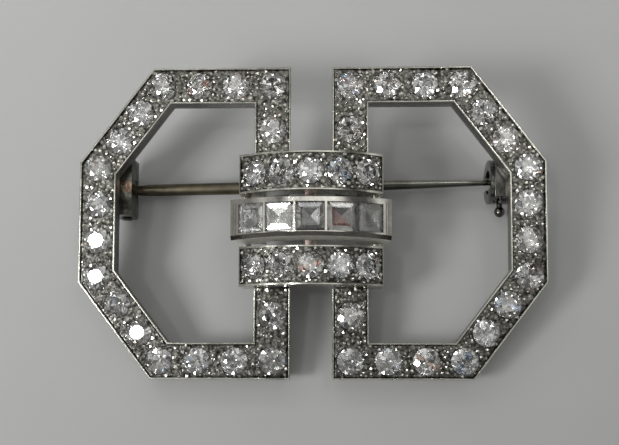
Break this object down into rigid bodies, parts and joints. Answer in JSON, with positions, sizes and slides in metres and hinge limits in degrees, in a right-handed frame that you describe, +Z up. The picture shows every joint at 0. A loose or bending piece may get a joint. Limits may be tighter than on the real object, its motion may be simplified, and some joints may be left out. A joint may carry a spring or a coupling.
{
  "type": "geometric brooch",
  "caption": "Openwork jewelled brooch: two half-octagon frames joined by arched bars, with a hinged pin and a turning safety catch behind.",
  "frame": {"origin": "bottom centre of the bounding box, on the surface that the brooch lies on, below its middle", "axes": "+X across the brooch from the hinge to the catch, +Z up from the surface. The brooch lies on its back on the catch, the hinge and its lower edge, so its front faces up and leans 14.04 degrees towards -Y: the brooch's own upward direction is (0, 0.970, 0.243) and its front points along (0, -0.243, 0.970)"},
  "size_m": [0.042, 0.0276, 0.0102],
  "materials": {
    "platinum_setting": "bright grain-set platinum with polished rims",
    "platinum_gallery": "satin pierced gallery",
    "platinum_channel": "polished channel",
    "fitting_grey": "dull grey worn white gold",
    "pin_white_gold": "warm white gold, polished",
    "diamond_round": "faceted old cut",
    "diamond_square": "faceted square step cut"
  },
  "bodies": {
    "brooch": {"frame_left": "platinum_setting", "frame_right": "platinum_setting", "gallery_left": "platinum_gallery", "gallery_right": "platinum_gallery", "bar_upper": "platinum_setting", "bar_lower": "platinum_setting", "bar_middle": "platinum_channel", "bridge_rail_left": "platinum_setting", "bridge_rail_right": "platinum_setting", "bridge_rail_centre": "platinum_setting", "hinge_base": "fitting_grey", "hinge_rivet": "fitting_grey", "catch_base": "fitting_grey", "catch_ring": "fitting_grey", "stone_row_upper": "diamond_round", "stone_row_lower": "diamond_round", "stone_square_01": "diamond_square", "stone_square_02": "diamond_square", "stone_square_03": "diamond_square", "stone_square_04": "diamond_square", "stone_square_05": "diamond_square", "stone_left_01": "diamond_round", "stone_left_02": "diamond_round", "stone_left_03": "diamond_round", "stone_left_04": "diamond_round", "stone_left_05": "diamond_round", "stone_left_06": "diamond_round", "stone_left_07": "diamond_round", "stone_left_08": "diamond_round", "stone_left_09": "diamond_round", "stone_left_10": "diamond_round", "stone_left_11": "diamond_round", "stone_left_12": "diamond_round", "stone_left_13": "diamond_round", "stone_left_14": "diamond_round", "stone_left_15": "diamond_round", "stone_left_16": "diamond_round", "stone_left_17": "diamond_round", "stone_left_18": "diamond_round", "stone_right_01": "diamond_round", "stone_right_02": "diamond_round", "stone_right_03": "diamond_round", "stone_right_04": "diamond_round", "stone_right_05": "diamond_round", "stone_right_06": "diamond_round", "stone_right_07": "diamond_round", "stone_right_08": "diamond_round", "stone_right_09": "diamond_round", "stone_right_10": "diamond_round", "stone_right_11": "diamond_round", "stone_right_12": "diamond_round", "stone_right_13": "diamond_round", "stone_right_14": "diamond_round", "stone_right_15": "diamond_round", "stone_right_16": "diamond_round", "stone_right_17": "diamond_round", "stone_right_18": "diamond_round"},
    "pin": {"pin_stem": "pin_white_gold"},
    "roller": {"catch_roller": "fitting_grey"}
  },
  "joints": [
    {"name": "pin_swing", "type": "hinge", "parent": "brooch", "child": "pin", "pos_m": [-0.018, 0.00481, 0.0017], "axis": [0, 0.9701, 0.2426], "range_deg": [0, 80]},
    {"name": "catch_turn", "type": "hinge", "parent": "brooch", "child": "roller", "pos_m": [0.0178, 0.00539, 0.00208], "axis": [1, 0, 0], "range_deg": [0, 95]}
  ]
}
